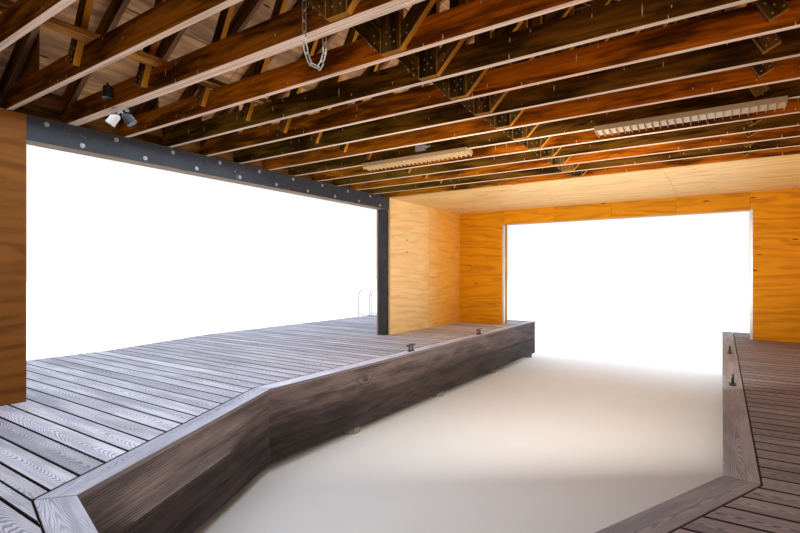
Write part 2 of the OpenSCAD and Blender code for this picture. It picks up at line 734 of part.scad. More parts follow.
// Fascia boards at the eaves and barge boards at the gables
module roof_edge_boards() color("dimgray") on_site() both_sides() {
    top = rafter_top(eave_x + edge_t);
    translate([-eave_x - edge_t, roof_y0, top + sheath_plumb / 2 - edge_d])
        cube([edge_t, roof_y1 - roof_y0, edge_d]);
    for (y = [roof_y0, roof_y1 - edge_t]) along_y(y, edge_t)
        polygon([[-eave_x + sheet_gap, rafter_top(eave_x - sheet_gap) - edge_d],
            [-sheet_gap / 2, rafter_top(sheet_gap / 2) - edge_d], [-sheet_gap / 2, rafter_top(sheet_gap / 2)],
            [-eave_x + sheet_gap, rafter_top(eave_x - sheet_gap)]]);
}

// White strip lights with cross blades, fixed under one chord
module strip_light(x) translate([x - light_l / 2, truss_at(light_truss) - light_w / 2, head_z - light_h]) {
    n = floor((light_l - blade_t) / blade_pitch);
    first = (light_l - n * blade_pitch - blade_t) / 2;
    cube([light_l, light_w, light_h]);
    for (i = [0:n]) translate([first + i * blade_pitch, 0, -blade_h]) cube([blade_t, light_w, blade_h + eps]);
}

module strip_lights() color("white") on_site() {
    strip_light(light_left_x);
    strip_light(light_right_x);
}

// A lamp that points down from the end of its neck at the origin: a domed shell with a wider rim
module lamp_shell() {
    r = lamp_d / 2;
    rim = r / 3;
    rotate_extrude($fn = 48) polygon([[0, 0], [lamp_neck, 0], [lamp_neck, -2 * lamp_neck],
        [0.7 * r, -2.5 * lamp_neck], [0.92 * r, -3.5 * lamp_neck], [r, -5 * lamp_neck], [r, rim - lamp_l],
        [r + rim / 4, rim - lamp_l], [r + rim / 4, -lamp_l], [0, -lamp_l]]);
}

// Radius of the necks, the lamps' turns about X and Y, and how far a turned neck lies under the base
lamp_neck = lamp_d / 8;
lamp_turn = [25, 22];
lamp_drop = lamp_neck * sin(acos(cos(lamp_turn[0]) * cos(lamp_turn[1]))) + fit;

// Twin lamps under the doubled chord, and their dark sensor on its land-side face
module flood_lamps() color("lightgray") on_site() {
    base_h = lamp_d / 4;
    translate([lamp_wall - half_w, double_y + ply, head_z - base_h]) {
        cylinder(h = base_h, d = 1.6 * lamp_d, $fn = 48);
        for (s = [-1, 1]) translate([s * lamp_d / 2, 0, -lamp_drop])
            rotate([s * lamp_turn[0], -s * lamp_turn[1], 0]) lamp_shell();
    }
    translate([lamp_wall - half_w, double_y - timber_t / 2 - lamp_d / 2 - lamp_d / 24, head_z + chord_d / 3 + lamp_l])
        lamp_shell();
}

// Box on the land-side face of the chord that carries the strip lights, with a round gland on its side
module junction_box() color("silver") on_site()
    translate([-box_x - box_w / 2, truss_at(light_truss) - timber_t / 2 - box_d, head_z + (chord_d - box_h) / 2]) {
        cube([box_w, box_d, box_h]);
        translate([box_w - eps, box_d / 2, box_h / 2]) rotate([0, 90, 0]) cylinder(h = box_d, d = box_d / 2, $fn = 32);
    }

// A chain link of round rod between bows that are centred on a and b, in the Y-Z plane or across it
module chain_link(a, b, across) {
    l = norm(b - a);
    translate([0, a[0], a[1]]) rotate([atan2(b[1] - a[1], b[0] - a[0]) - 90, 0, 0]) rotate([0, 0, across ? 0 : 90]) {
        for (z = [0, l]) translate([0, 0, z]) mirror([0, 0, z == 0 ? 1 : 0]) rotate([90, 0, 0])
            rotate_extrude(angle = 180, $fn = 32) translate([bow_r, 0]) circle(d = chain_d, $fn = 16);
        for (x = [-bow_r, bow_r]) translate([x, 0, -eps]) cylinder(h = l + 2 * eps, d = chain_d, $fn = 16);
    }
}
bow_r = (chain_w - chain_d) / 2;

// Half of the chain's loop in the Y-Z plane. The loop is slung over the doubled chord and the diagonal on
// its face. Each side hangs straight down beside them, and then swings in to the link at the bottom
chain_side = 1.5 * timber_t + fit / 2 + chain_w / 2 + fit;
chain_swing = 18;
chain_bend = [chain_side - sin(chain_swing) * chain_pitch, -(chain_n + cos(chain_swing)) * chain_pitch];
chain_last = chain_bend[0] - chain_pitch / 2;
chain_half = concat([[chain_side / 3, 0]], [for (i = [0:chain_n]) [chain_side, -i * chain_pitch]],
    [chain_bend, chain_bend - [chain_last, sqrt(pow(chain_pitch, 2) - pow(chain_last, 2))]]);
chain_loop = concat([for (p = chain_half) [-p[0], p[1]]], [for (i = [len(chain_half) - 1:-1:0]) chain_half[i]]);

// Direction of the loop after joint i, and at the joint itself
chain_joints = len(chain_loop);
function chain_point(i) = chain_loop[(i + chain_joints) % chain_joints];
function chain_dir(i) = (chain_point(i + 1) - chain_point(i)) / norm(chain_point(i + 1) - chain_point(i));
function chain_turn(i) = (chain_dir(i - 1) + chain_dir(i)) / norm(chain_dir(i - 1) + chain_dir(i));

// Centres of the bows of link i. Two links that hold each other have their rods side by side at the joint
function chain_bows(i) = let (s = (chain_d + fit) / 2, a = chain_point(i), b = chain_point(i + 1),
        a_turn = chain_turn(i), b_turn = chain_turn(i + 1))
    i % 2 == 1 ? [a + (bow_r - s) * a_turn, b - (bow_r - s) * b_turn]
    : let (a_end = a - s * a_turn, b_end = b + s * b_turn, u = (b_end - a_end) / norm(b_end - a_end))
        [a_end + bow_r * u, b_end - bow_r * u];

module hanging_chain() color("lightgray") on_site()
    translate([-chain_x, double_y + fit / 2, chain_z]) for (i = [0:chain_joints - 1])
        chain_link(chain_bows(i)[0], chain_bows(i)[1], i % 2 == 0);
web_plumb = web_w * norm(diagonal_head - diagonal_foot) / (diagonal_foot[0] - diagonal_head[0]);
chain_z = on_diagonal(chain_x + chain_w / 2)[1] + web_plumb + chain_d;

// Dock cleats on the border boards, two on each side of the slip
module cleat() {
    horn_r = cleat_h / 6;
    leg_y = cleat_l / 6;
    for (s = [-1, 1]) translate([0, s * leg_y, 0]) {
        cylinder(h = cleat_h - horn_r, r = horn_r * 0.8, $fn = 32);
        cylinder(h = cleat_h / 8, r = horn_r * 1.8, $fn = 32);
    }
    translate([0, 0, cleat_h - horn_r]) rotate([90, 0, 0]) rotate_extrude($fn = 32)
        polygon([[0, -cleat_l / 2], [horn_r / 2, -cleat_l / 2], [horn_r, -leg_y - horn_r],
            [horn_r, leg_y + horn_r], [horn_r / 2, cleat_l / 2], [0, cleat_l / 2]]);
}

module dock_cleats() color("black") on_site() {
    for (side = [-1, 1], i = [0, 1])
        translate([slip_x + side * (slip_w + border_w) / 2, lake_y - cleat_y - i * cleat_pitch, deck_z]) cleat();
}

// Stainless swim ladder: two bent rails over the edge of the deck, with rungs between their outer legs
module ladder_rail() {
    r = (ladder_d - ladder_tube) / 2;
    top = ladder_h - ladder_tube / 2 - r;
    translate([r, 0, top]) rotate([90, 0, 0]) rotate_extrude(angle = 180, $fn = 48)
        translate([r, 0]) circle(d = ladder_tube, $fn = 24);
    translate([0, 0, -ladder_drop]) cylinder(h = ladder_drop + top + eps, d = ladder_tube, $fn = 24);
    translate([2 * r, 0, 0]) cylinder(h = top + eps, d = ladder_tube, $fn = 24);
    translate([0, 0, 1.5 * ladder_tube]) rotate([0, 90, 0]) cylinder(h = 2 * r, d = ladder_tube * 0.8, $fn = 24);
}

module swim_ladder() color("silver") on_site()
    translate([dock_x - ladder_gap - ladder_tube / 2, lake_y - ladder_y - ladder_w, deck_z]) {
        for (y = [0, ladder_w]) translate([0, y, 0]) ladder_rail();
        for (i = [0, 1]) translate([0, 0, i * rung_pitch + ladder_tube - ladder_drop]) rotate([-90, 0, 0])
            cylinder(h = ladder_w, d = ladder_tube * 0.9, $fn = 24);
    }

piles();
cap_beams();
deck_joists();
deck_head();
deck_left();
deck_right();
dock_lake_end();
slip_border();
slip_fascia();
dock_fascia();
wall_framing();
left_wall_lining();
right_wall_lining();
land_wall_lining();
lake_wall_lining();
left_wall_cladding();
right_wall_cladding();
land_wall_cladding();
lake_wall_cladding();
entrance_jambs();
entrance_strips();
window_sashes();
window_glass();
steel_beam();
beam_core();
steel_posts();
bottom_chords();
rafters();
king_posts();
truss_diagonals();
truss_struts();
truss_gussets();
lateral_runners();
eave_blocking();
ceiling_panels();
roof_sheathing();
metal_roofing();
ridge_cap();
roof_edge_boards();
strip_lights();
flood_lamps();
junction_box();
hanging_chain();
dock_cleats();
swim_ladder();
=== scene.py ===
import math
import random

import bmesh
import bpy
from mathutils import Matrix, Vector


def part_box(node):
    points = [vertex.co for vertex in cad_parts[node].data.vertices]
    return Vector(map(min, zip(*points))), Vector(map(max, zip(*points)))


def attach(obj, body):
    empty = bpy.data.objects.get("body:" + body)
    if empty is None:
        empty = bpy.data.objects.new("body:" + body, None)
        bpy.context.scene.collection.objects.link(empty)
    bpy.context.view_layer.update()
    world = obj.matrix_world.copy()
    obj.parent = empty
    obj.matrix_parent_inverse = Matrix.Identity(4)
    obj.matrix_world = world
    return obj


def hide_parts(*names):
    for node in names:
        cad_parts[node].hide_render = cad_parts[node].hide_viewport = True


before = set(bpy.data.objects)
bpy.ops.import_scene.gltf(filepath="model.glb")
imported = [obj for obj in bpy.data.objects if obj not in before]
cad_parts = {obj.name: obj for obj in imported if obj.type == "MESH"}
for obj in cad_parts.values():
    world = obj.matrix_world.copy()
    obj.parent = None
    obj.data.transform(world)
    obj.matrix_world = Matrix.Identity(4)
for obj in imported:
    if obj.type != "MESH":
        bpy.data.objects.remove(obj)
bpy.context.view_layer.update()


# Camera: it stands on the deck near the land wall and looks across the slip to the open side
# and the far entrance. The room's own corner and the deck's top place it.
def place_in_scene(name, data):
    made = bpy.data.objects.new(name, data)
    bpy.context.scene.collection.objects.link(made)
    return made


wall_low, wall_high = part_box("land_wall_lining")
ridge_x = (wall_low.x + wall_high.x) / 2
room_y = wall_high.y
deck_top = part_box("deck_head")[1].z
eye_height = 0.940
view_turn = 33.58
picture_width = 800
focal_pixels = 485
lowered_pixels = 7.5
camera_data = bpy.data.cameras.new("camera")
camera_data.sensor_width = 36
camera_data.lens = 36 * focal_pixels / picture_width
camera_data.shift_y = lowered_pixels / picture_width
camera_data.clip_start = 0.02
camera = place_in_scene("camera", camera_data)
camera.location = (ridge_x + 1.480, room_y + 1.515, deck_top + eye_height)
camera.rotation_euler = (math.radians(90), 0, math.radians(view_turn))
bpy.context.scene.camera = camera


# Foundation: round piles of weathered, treated timber that stand in rows under the deck.
# Their grain runs upwards, and their surface is grey and streaked.
def add_node(tree, kind, inputs=None, **settings):
    """A shader node, with each input set to a value or linked to another node's output."""
    made = tree.nodes.new("ShaderNode" + kind)
    for name, value in settings.items():
        setattr(made, name, value)
    for name, value in (inputs or {}).items():
        if isinstance(value, bpy.types.NodeSocket):
            tree.links.new(value, made.inputs[name])
        else:
            made.inputs[name].default_value = value
    return made


def calculate(tree, operation, *values, clamp=False):
    """The outcome of a Math node. More than two values are worked from the left."""
    if len(values) > 2:
        values = (calculate(tree, operation, *values[:-1]), values[-1])
    made = add_node(tree, "Math", dict(enumerate(values)), operation=operation, use_clamp=clamp)
    return made.outputs[0]


def ease_between(tree, value, low, high, to_low=0.0, to_high=1.0):
    """Runs softly from one value to another while the given one goes from low to high."""
    made = add_node(tree, "MapRange", {"Value": value, "From Min": low, "From Max": high,
                                       "To Min": to_low, "To Max": to_high},
                    interpolation_type="SMOOTHSTEP")
    return made.outputs["Result"]


def split(tree, vector):
    return add_node(tree, "SeparateXYZ", {0: vector}).outputs


def join(tree, x, y, z=0.0):
    return add_node(tree, "CombineXYZ", {0: x, 1: y, 2: z}).outputs[0]


def stretched(tree, place, scale):
    return add_node(tree, "VectorMath", {0: place, 1: scale}, operation="MULTIPLY").outputs[0]


def noise(tree, place, scale, detail=2.0, roughness=0.5):
    """Cloudy values, with the number of clouds to a metre along each axis."""
    made = add_node(tree, "TexNoise", {"Vector": stretched(tree, place, scale), "Scale": 1.0,
                                       "Detail": detail, "Roughness": roughness})
    return made.outputs["Fac"]


def blend_colors(tree, share, first, second, kind="MIX"):
    """Lays the second colour over the first. Each is a node's output, or red, green and blue."""
    first, second = (color if isinstance(color, bpy.types.NodeSocket) else (*color, 1)
                     for color in (first, second))
    made = add_node(tree, "Mix", {0: share, 6: first, 7: second}, data_type="RGBA", blend_type=kind)
    return made.outputs[2]


def make_grain_group():
    """Growth lines in arches, streaks, pores, knots and stains of sawn wood.

    X of Place runs along the grain and Y across it from the middle of the face, in metres."""
    tree = bpy.data.node_groups.new("wood_grain", "ShaderNodeTree")
    socket = tree.interface.new_socket
    socket(name="Place", in_out="INPUT", socket_type="NodeSocketVector")
    for name, value in (("Lines", 60.0), ("Arches", 0.05), ("Sway", 0.03), ("Knots", 0.2),
                        ("Turn", 1.0)):
        socket(name=name, in_out="INPUT", socket_type="NodeSocketFloat").default_value = value
    for name in ("Lines", "Streaks", "Pores", "Knots", "Stains"):
        socket(name=name, in_out="OUTPUT", socket_type="NodeSocketFloat")
    given = tree.nodes.new("NodeGroupInput").outputs
    place = given["Place"]
    along, across = split(tree, place)[:2]

    knot_cells = add_node(tree, "TexVoronoi", {"Vector": stretched(tree, place, (2.1, 9.0, 1.0)),
                                               "Scale": 1.0}).outputs
    chance = add_node(tree, "SeparateColor", {0: knot_cells["Color"]}).outputs[0]
    kept = calculate(tree, "LESS_THAN", chance, given["Knots"])
    knot = ease_between(tree, knot_cells["Distance"], 0.05, 0.12, 1.0, 0.0)
    round_knot = ease_between(tree, knot_cells["Distance"], 0.0, 0.45, 1.0, 0.0)

    flat_top = 0.0009
    bow = calculate(tree, "SQRT", calculate(tree, "ADD", calculate(tree, "MULTIPLY", across, across),
                                            flat_top))
    slope = calculate(tree, "MULTIPLY", along, given["Arches"], given["Turn"])
    sway = calculate(tree, "MULTIPLY", noise(tree, place, (1.1, 7.0, 1.0), 3.0), given["Sway"])
    swerve = calculate(tree, "MULTIPLY", round_knot, kept, 0.03)
    path = calculate(tree, "ADD", bow, slope, sway, swerve)
    wave = calculate(tree, "SINE", calculate(tree, "MULTIPLY", path, calculate(
        tree, "MULTIPLY", given["Lines"], math.tau)))
    patches = ease_between(tree, noise(tree, place, (1.3, 11.0, 2.0), 2.0), 0.35, 0.6, 0.35, 1.0)

    out = tree.nodes.new("NodeGroupOutput")
    for name, value in (
            ("Lines", calculate(tree, "MULTIPLY", ease_between(tree, wave, -0.6, 1.0), patches)),
            ("Streaks", noise(tree, place, (0.8, 38.0, 1.0), 3.0, 0.6)),
            ("Pores", noise(tree, place, (7.0, 420.0, 1.0), 2.0, 0.6)),
            ("Knots", calculate(tree, "MULTIPLY", knot, kept)),
            ("Stains", noise(tree, place, (1.6, 9.0, 3.0), 4.0, 0.62))):
        tree.links.new(value, out.inputs[name])
    return tree


wood_grain = make_grain_group()


def new_material(name, roughness=0.6, **constants):
    material = bpy.data.materials.new(name)
    material.use_nodes = True
    shader = material.node_tree.nodes["Principled BSDF"]
    shader.inputs["Roughness"].default_value = roughness
    for label, value in constants.items():
        shader.inputs[label.replace("_", " ")].default_value = value
    return material, material.node_tree, shader


def object_place(tree):
    return add_node(tree, "TexCoord").outputs["Object"]


def face_value(tree, name):
    """A value that each face carries, such as its tone, or its mark as an edge for wear, dark joints, a
    painted highlight or painted shade.
    """
    return add_node(tree, "Attribute", attribute_name=name).outputs["Fac"]


def grain_place(tree):
    """The piece's own grain map, with a slice of the wood of its own for each board."""
    flat = split(tree, add_node(tree, "UVMap", uv_map="grain").outputs[0])
    tone = face_value(tree, "tone")
    return join(tree, flat[0], flat[1], calculate(tree, "MULTIPLY", tone, 61.0)), tone


def wood_material(name, light, dark, other=None, lines=60.0, arches=0.05, sway=0.03, knots=0.15,
                  shares=(0.35, 0.45, 0.3), stains=0.2, tone_spread=0.35, rough=(0.55, 0.8),
                  bump=0.0006, knot_color=(0.03, 0.012, 0.005), place_axes=None, edge_color=None,
                  shine=0.35):
    """Wood whose colour runs from light to dark by its growth lines, streaks and pores.

    Other is a second pair of colours, which pieces with a high tone take on. Place_axes are the
    axes along and across the grain, for a piece without a grain map."""
    material, tree, shader = new_material(name)
    shader.inputs["Specular IOR Level"].default_value = shine
    if place_axes is None:
        place, tone = grain_place(tree)
    else:
        spot = split(tree, object_place(tree))
        place = join(tree, *(spot[axis] for axis in place_axes))
        tone = noise(tree, place, (0.2, 2.4, 2.4), 1.0)
    turn = calculate(tree, "SIGN", calculate(tree, "SINE", calculate(tree, "MULTIPLY", tone, 97.0)))
    grain = add_node(tree, "Group", {"Place": place, "Lines": lines, "Arches": arches, "Sway": sway,
                                     "Knots": knots, "Turn": turn}, node_tree=wood_grain).outputs
    parts = [calculate(tree, "MULTIPLY", grain[label], share)
             for label, share in zip(("Lines", "Streaks", "Pores"), shares)]
    amount = calculate(tree, "ADD", *parts, clamp=True)
    color = blend_colors(tree, amount, light, dark)
    if other is not None:
        color = blend_colors(tree, ease_between(tree, tone, 0.35, 0.65), color,
                             blend_colors(tree, amount, *other))
    level = ease_between(tree, tone, 0.0, 1.0, 1.0 - tone_spread, 1.0 + tone_spread)
    stained = ease_between(tree, grain["Stains"], 0.36, 0.64, 1.0 + stains, 1.0 - stains)
    shade = calculate(tree, "MULTIPLY", level, stained)
    color = add_node(tree, "VectorMath", {0: color, "Scale": shade}, operation="SCALE").outputs[0]
    color = blend_colors(tree, grain["Knots"], color, knot_color)
    # Colour on the rounded arrises: dark joints on plywood, wear on framing, cladding and paint, and a
    # painted highlight on the fascia and the truss timbers.
    if edge_color is not None:
        edge_wear_and_highlight = calculate(tree, "MULTIPLY", face_value(tree, "edge"), noise(tree, place, (3.0, 9.0, 1.0)))
        color = blend_colors(tree, edge_wear_and_highlight, color, edge_color)
    tree.links.new(color, shader.inputs["Base Color"])
    tree.links.new(ease_between(tree, amount, 0.0, 1.0, *rough), shader.inputs["Roughness"])
    relief = add_node(tree, "Bump", {"Height": calculate(tree, "SUBTRACT", 1.0, amount),
                                     "Strength": 1.0, "Distance": bump})
    tree.links.new(relief.outputs[0], shader.inputs["Normal"])
    return material


def recolor(material, share, color, kind="MIX"):
    """Lays another colour over the one that the material has, by a share."""
    tree = material.node_tree
    base = tree.nodes["Principled BSDF"].inputs["Base Color"]
    tree.links.new(blend_colors(tree, share, base.links[0].from_socket, color, kind), base)


def dress(node, material):
    """Gives a CAD node a material of its own in place of its plain one."""
    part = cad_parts[node]
    part.data.materials.clear()
    part.data.materials.append(material)


dress("piles", wood_material("pile_wood", (0.33, 0.29, 0.24), (0.13, 0.10, 0.08), lines=25, knots=0.3,
                             shares=(0.3, 0.6, 0.3), rough=(0.75, 0.95), bump=0.002,
                             place_axes=(2, 0, 1)))

# Deck framing: sawn softwood beams across the piles and joists on the beams, all laid flat
# and nailed. Each timber has slightly rounded arrises and wood of its own.
same_spot = 0.00002
across_room = Vector((1, 0, 0))
along_room = Vector((0, 1, 0))
upright = Vector((0, 0, 1))


def solids_of(*nodes):
    """A copy of CAD nodes as closed solids with whole flat faces."""
    copy = bmesh.new()
    for node in nodes:
        copy.from_mesh(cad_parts[node].data)
    bmesh.ops.remove_doubles(copy, verts=copy.verts, dist=same_spot)
    bmesh.ops.dissolve_limit(copy, angle_limit=0.02, verts=copy.verts, edges=copy.edges)
    return copy


def loose_parts(bm):
    """The faces of each solid that isn't joined to another."""
    waiting = dict.fromkeys(bm.faces)
    parts = []
    while waiting:
        part, found = [], [waiting.popitem()[0]]
        while found:
            face = found.pop()
            part.append(face)
            for edge in face.edges:
                for other in edge.link_faces:
                    if other in waiting:
                        del waiting[other]
                        found.append(other)
        parts.append(part)
    return parts


def edges_of(part):
    return list(dict.fromkeys(edge for face in part for edge in face.edges))


def longest_edge(part):
    return max(edges_of(part), key=lambda edge: round(edge.calc_length(), 4))


def middle_of(part):
    spots = [v.co for face in part for v in face.verts]
    return Vector([(min(s[i] for s in spots) + max(s[i] for s in spots)) / 2 for i in range(3)])


def round_arrises(bm, size, segments=1, sharper_than=0.5):
    """Rounds each solid's sharp edges, and marks the new faces as edges, for wear, dark joints and
    painted highlights in the materials.
    """
    edge_layer = bm.faces.layers.float.new("edge")
    for part in loose_parts(bm):
        sharp = [e for e in edges_of(part) if e.is_manifold and e.calc_face_angle(0) > sharper_than]
        made = bmesh.ops.bevel(bm, geom=sharp, offset=size, offset_type="OFFSET", segments=segments,
                               profile=0.5, affect="EDGES", material=-1, clamp_overlap=True)
        for face in made["faces"]:
            face[edge_layer] = 1.0


def lay_grain(bm, seed, along=None, tone_at=None):
    """Maps the grain in metres along each solid's longest edge, or along a given way.

    Across the grain it is measured from the solid's middle. The solid's tone is drawn by lot,
    or found from its middle by tone_at."""
    draw = random.Random(seed)
    grain = bm.loops.layers.uv.new("grain")
    tone_layer = bm.faces.layers.float.new("tone")
    parts = sorted(loose_parts(bm), key=lambda part: tuple(round(c, 3) for c in min(
        tuple(v.co) for face in part for v in face.verts)))
    for part in parts:
        middle = middle_of(part)
        way = along
        if way is None:
            start, end = longest_edge(part).verts
            way = (end.co - start.co).normalized()
            if way.x + way.y + way.z < 0:
                way = -way
        tone = draw.random() if tone_at is None else tone_at(middle, draw)
        shift = draw.uniform(0, 40)
        for face in part:
            face[tone_layer] = tone
            across = face.normal.cross(way)
            first = way
            if across.length < 0.3:
                across = way.orthogonal().normalized()
                first = face.normal.cross(across)
            across = across.normalized()
            for loop in face.loops:
                spot = loop.vert.co - middle
                loop[grain].uv = (spot.dot(first) + shift, spot.dot(across))


def make_piece(bm, name, material, slot, *nodes, smooth=None):
    """Turns the mesh into a piece that rides on the building and stands for its CAD nodes."""
    bm.normal_update()
    if smooth is not None:
        for edge in bm.edges:
            edge.smooth = edge.calc_face_angle(0) < smooth
        for face in bm.faces:
            face.smooth = True
    mesh = bpy.data.meshes.new(name)
    bm.to_mesh(mesh)
    bm.free()
    mesh.materials.append(material)
    piece = place_in_scene(name, mesh)
    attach(piece, "root")
    if nodes:
        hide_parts(*nodes)
    return piece


def make_timbers(node, name, material, slot, seed, size=0.002, along=None, tone_at=None, segments=1):
    """The timbers of one CAD node, each with rounded arrises and its own wood."""
    bm = solids_of(node)
    round_arrises(bm, size, segments)
    lay_grain(bm, seed, along, tone_at)
    make_piece(bm, name, material, slot, node)


framing_wood = wood_material("framing_wood", (0.50, 0.36, 0.20), (0.26, 0.16, 0.08), lines=80,
                             knots=0.25, edge_color=(0.55, 0.42, 0.26))
make_timbers("cap_beams", "cap_beam_timbers", framing_wood, "frame_timber", 11, 0.004)
make_timbers("deck_joists", "deck_joist_timbers", framing_wood, "frame_timber", 12, 0.003)
dress("wall_framing", wood_material("stud_wood", (0.56, 0.42, 0.25), (0.34, 0.22, 0.11), lines=70,
                                    place_axes=(2, 1, 0)))

# Decking: composite boards across the joists, 138 mm wide with open gaps, cut to the slip's border.
# They are pressed with a cathedral grain, grey-lavender by the open side and browner to the right,
# partly painted shade, with painted shade in the gaps.
board_width = 0.138
board_pitch = 0.145
board_depth = 0.025
board_arris = 0.0045
deck_joint = 0.007
least_offcut = 0.014
first_board = room_y - 0.180


def outer_sheet(nodes, normal, join_gap):
    """The faces of CAD nodes that look along normal, joined across the gaps between their parts."""
    sheet = bmesh.new()
    for node in nodes:
        sheet.from_mesh(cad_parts[node].data)
    bmesh.ops.remove_doubles(sheet, verts=sheet.verts, dist=same_spot)
    sheet.normal_update()
    turned = [face for face in sheet.faces if face.normal.dot(normal) < 0.99]
    bmesh.ops.delete(sheet, geom=turned, context="FACES")
    bmesh.ops.remove_doubles(sheet, verts=sheet.verts, dist=join_gap)
    bmesh.ops.dissolve_limit(sheet, angle_limit=0.01, verts=sheet.verts, edges=sheet.edges)
    return sheet


def saw(sheet, across, first, pitch, width, faces=None):
    """Saws the sheet into strips of one width with open gaps, at right angles to across."""
    cut = dict.fromkeys(faces or sheet.faces)
    reach = [v.co.dot(across) for face in cut for v in face.verts]
    row = first + math.floor((min(reach) - first) / pitch) * pitch
    while row < max(reach):
        for place in (row, row + width):
            corners = dict.fromkeys(vert for face in cut for vert in face.verts)
            made = bmesh.ops.bisect_plane(sheet, geom=[*cut, *edges_of(cut), *corners], dist=0.00001,
                                          plane_co=across * place, plane_no=across)
            cut.update(dict.fromkeys(item for item in made["geom"]
                                     if isinstance(item, bmesh.types.BMFace)))
        row += pitch
    gaps = [face for face in cut if (face.calc_center_median().dot(across) - first) % pitch > width]
    bmesh.ops.delete(sheet, geom=gaps, context="FACES")


def thicken(sheet, depth):
    """Gives the sheet its thickness, away from its face."""
    made = bmesh.ops.extrude_face_region(sheet, geom=sheet.faces[:])
    moved = [item for item in made["geom"] if isinstance(item, bmesh.types.BMVert)]
    bmesh.ops.translate(sheet, verts=moved, vec=depth)
    bmesh.ops.recalc_face_normals(sheet, faces=sheet.faces)


def lay_deck(name, nodes, material, slot, seed):
    bm = outer_sheet(nodes, upright, deck_joint)
    saw(bm, along_room, first_board, board_pitch, board_width)
    bmesh.ops.dissolve_degenerate(bm, dist=least_offcut, edges=bm.edges)
    thicken(bm, upright * -board_depth)
    round_arrises(bm, board_arris, 2)
    edge_layer = bm.faces.layers.float["edge"]
    bm.normal_update()
    # Every face but the top is marked as an edge, for the painted shade in the gaps.
    for face in bm.faces:
        face[edge_layer] = 1.0 if face.normal.z < 0.98 else 0.0
    lay_grain(bm, seed, across_room)
    make_piece(bm, name, material, slot, *nodes)


def board_material(name, light, dark, **changes):
    """Pressed composite: fine pale lines in arches over a darker body, with a dull sheen."""
    values = dict(lines=150, arches=0.13, sway=0.09, knots=0.10, shares=(0.56, 0.55, 0.44),
                  tone_spread=0.16, stains=0.16, rough=(0.50, 0.72), bump=0.0008, knot_color=dark,
                  shine=0.3)
    values.update(changes)
    return wood_material(name, light, dark, **values)


def painted_shade_and_unbleached_brown(material, color):
    """The boards are browner towards the right: partly wood less bleached by the sun, and partly painted
    shade away from the open side's light.
    """
    tree = material.node_tree
    place = split(tree, object_place(tree))[0]
    recolor(material, ease_between(tree, place, ridge_x - 0.5, ridge_x + 1.4), color, "MULTIPLY")


deck_boards = board_material("deck_boards", (1.00, 1.00, 1.00), (0.30, 0.29, 0.42))
painted_shade_and_unbleached_brown(deck_boards, (0.50, 0.42, 0.40))
# Painted shade: the boards' sides and rounded arrises are near-black, as the shade in the gaps.
painted_gap_shade = (0.012, 0.010, 0.012)
recolor(deck_boards, face_value(deck_boards.node_tree, "edge"), painted_gap_shade)
lay_deck("deck_boards_left", ("deck_left", "deck_head"), deck_boards, "deck_boards", 21)
lay_deck("deck_boards_right", ("deck_right",), deck_boards, "deck_boards_warm", 22)
lay_deck("deck_boards_lake_end", ("dock_lake_end",), deck_boards, "deck_boards", 23)


# Slip border: one board of the same kind all round the slip, mitred at its turns, with a rounded
# nosing that stands over the fascia, painted darker than the board's top as shade.
def facing(tree, axis):
    """How far each face looks along one of the building's axes, from -1 to 1."""
    return split(tree, add_node(tree, "NewGeometry").outputs["True Normal"])[axis]


border_boards = board_material("border_boards", (1.00, 1.00, 1.00), (0.42, 0.42, 0.60), arches=0.035,
                               sway=0.10, lines=190, shares=(0.55, 0.60, 0.50))
painted_shade_and_unbleached_brown(border_boards, (0.58, 0.52, 0.47))
border_tree = border_boards.node_tree
# Painted shade: the board's upright and sloping faces, the nosing, are darker than its top.
levelness = calculate(border_tree, "ABSOLUTE", facing(border_tree, 2))
recolor(border_boards, ease_between(border_tree, levelness, 0.9, 0.5), (0.12, 0.092, 0.090))
make_timbers("slip_border", "slip_border_boards", border_boards, "deck_boards", 24, 0.005, segments=3)

# Fascia: two rows of wide dark composite boards on edge, screwed to the joists' ends round the
# slip and round the deck's outer edge, with the same pressed grain.
fascia_row = 0.30
# The fascia's pale edge colour is a painted highlight along the boards' arrises and row joints.
fascia_boards = board_material("fascia_boards", (0.120, 0.083, 0.075), (0.021, 0.014, 0.015),
                               lines=70, arches=0.02, sway=0.012, shares=(0.35, 0.60, 0.25),
                               tone_spread=0.35, stains=0.40, rough=(0.5, 0.7), shine=0.2,
                               edge_color=(0.18, 0.15, 0.145))


def row_painted_shade(middle, draw):
    """Painted shade: the lower row takes a dark tone, as if in shade under the light from above, and the
    upper row a light one.
    """
    return draw.uniform(0.7, 1.0) if middle.z > deck_top - fascia_row else draw.uniform(0.0, 0.2)


for node, seed in (("slip_fascia", 31), ("dock_fascia", 32)):
    make_timbers(node, node + "_boards", fascia_boards, "fascia_boards", seed, 0.003,
                 tone_at=row_painted_shade, segments=2)


# Lining: upright sheets of oiled softwood plywood on the studs. The veneer's grain runs level in
# soft wide figures with a few knots. The near side-wall sheets are painted darker as shade, and
# the sheets are painted a deep orange towards the far wall as the warm glow of the light there.
def plywood_material(name, light, dark, **changes):
    values = dict(lines=9.0, arches=0.10, sway=0.30, knots=0.5, shares=(0.30, 0.38, 0.30),
                  tone_spread=0.06, stains=0.05, rough=(0.5, 0.65), bump=0.0002, shine=0.15,
                  knot_color=(dark[0] * 0.35, dark[1] * 0.25, dark[2] * 0.2),
                  edge_color=(dark[0] * 0.5, dark[1] * 0.4, dark[2] * 0.4))
    values.update(changes)
    return wood_material(name, light, dark, **values)


def wall_painted_shade_tone(middle, draw):
    """Painted shade: the near sheets take the darker pair of colours, the last ones a little of it, and
    those from the posts on none.
    """
    along = middle.y - room_y
    return draw.uniform(0.85, 1.0) if along < 3 else 0.1 if along < 9 else 0.42


